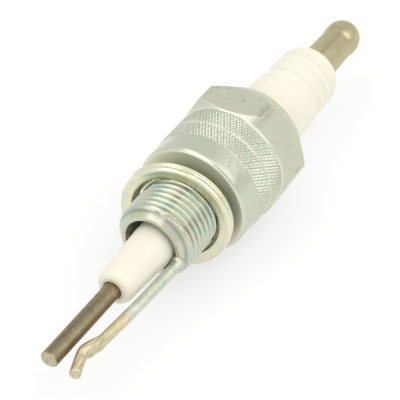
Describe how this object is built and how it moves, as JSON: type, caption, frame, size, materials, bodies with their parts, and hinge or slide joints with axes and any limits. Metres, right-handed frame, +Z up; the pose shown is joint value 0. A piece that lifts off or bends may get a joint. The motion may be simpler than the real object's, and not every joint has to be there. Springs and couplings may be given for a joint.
{
  "type": "ignition electrode",
  "caption": "Threaded industrial ignition electrode: long centre rod and welded ground wire, knurled hex shell, loose crush gasket, white ceramic and bulb terminal.",
  "frame": {"origin": "middle of the whole part's box, on the surface it lies on", "axes": "+Z up from the hexagon flat it lies on; +X along the plug's own axis from the electrode tips towards the terminal; the plug's axis is 10.32 mm above the origin"},
  "size_m": [0.0988, 0.0238, 0.0206],
  "materials": {
    "zinc_plate": "satin zinc plate with a faint yellow-green passivation tint",
    "gasket_steel": "satin zinc-plated sheet",
    "ground_alloy": "satin drawn wire, plated near the shell and bare at the end",
    "white_ceramic": "soft glazed cream white",
    "plain_steel": "plain steel",
    "talc": "pressed powder",
    "rod_alloy": "dark oxidised drawn rod",
    "seal_glass": "fused dark glass",
    "terminal_metal": "satin nickel-brass"
  },
  "bodies": {
    "plug": {"shell": "zinc_plate", "ground_electrode": "ground_alloy", "insulator": "white_ceramic", "seat_washer": "plain_steel", "front_packing_ring": "plain_steel", "talc_packing": "talc", "rear_packing_ring": "plain_steel", "centre_electrode": "rod_alloy", "glass_seal": "seal_glass", "terminal_stud": "plain_steel"},
    "gasket": {"sealing_gasket": "gasket_steel"},
    "terminal": {"terminal_nut": "terminal_metal"}
  },
  "joints": [
    {"name": "gasket_slide", "type": "slide", "parent": "plug", "child": "gasket", "axis": [1, 0, 0], "range_m": [-0.005, 0.0015]},
    {"name": "terminal_nut_off", "type": "slide", "parent": "plug", "child": "terminal", "axis": [1, 0, 0], "range_m": [0, 0.014]}
  ]
}
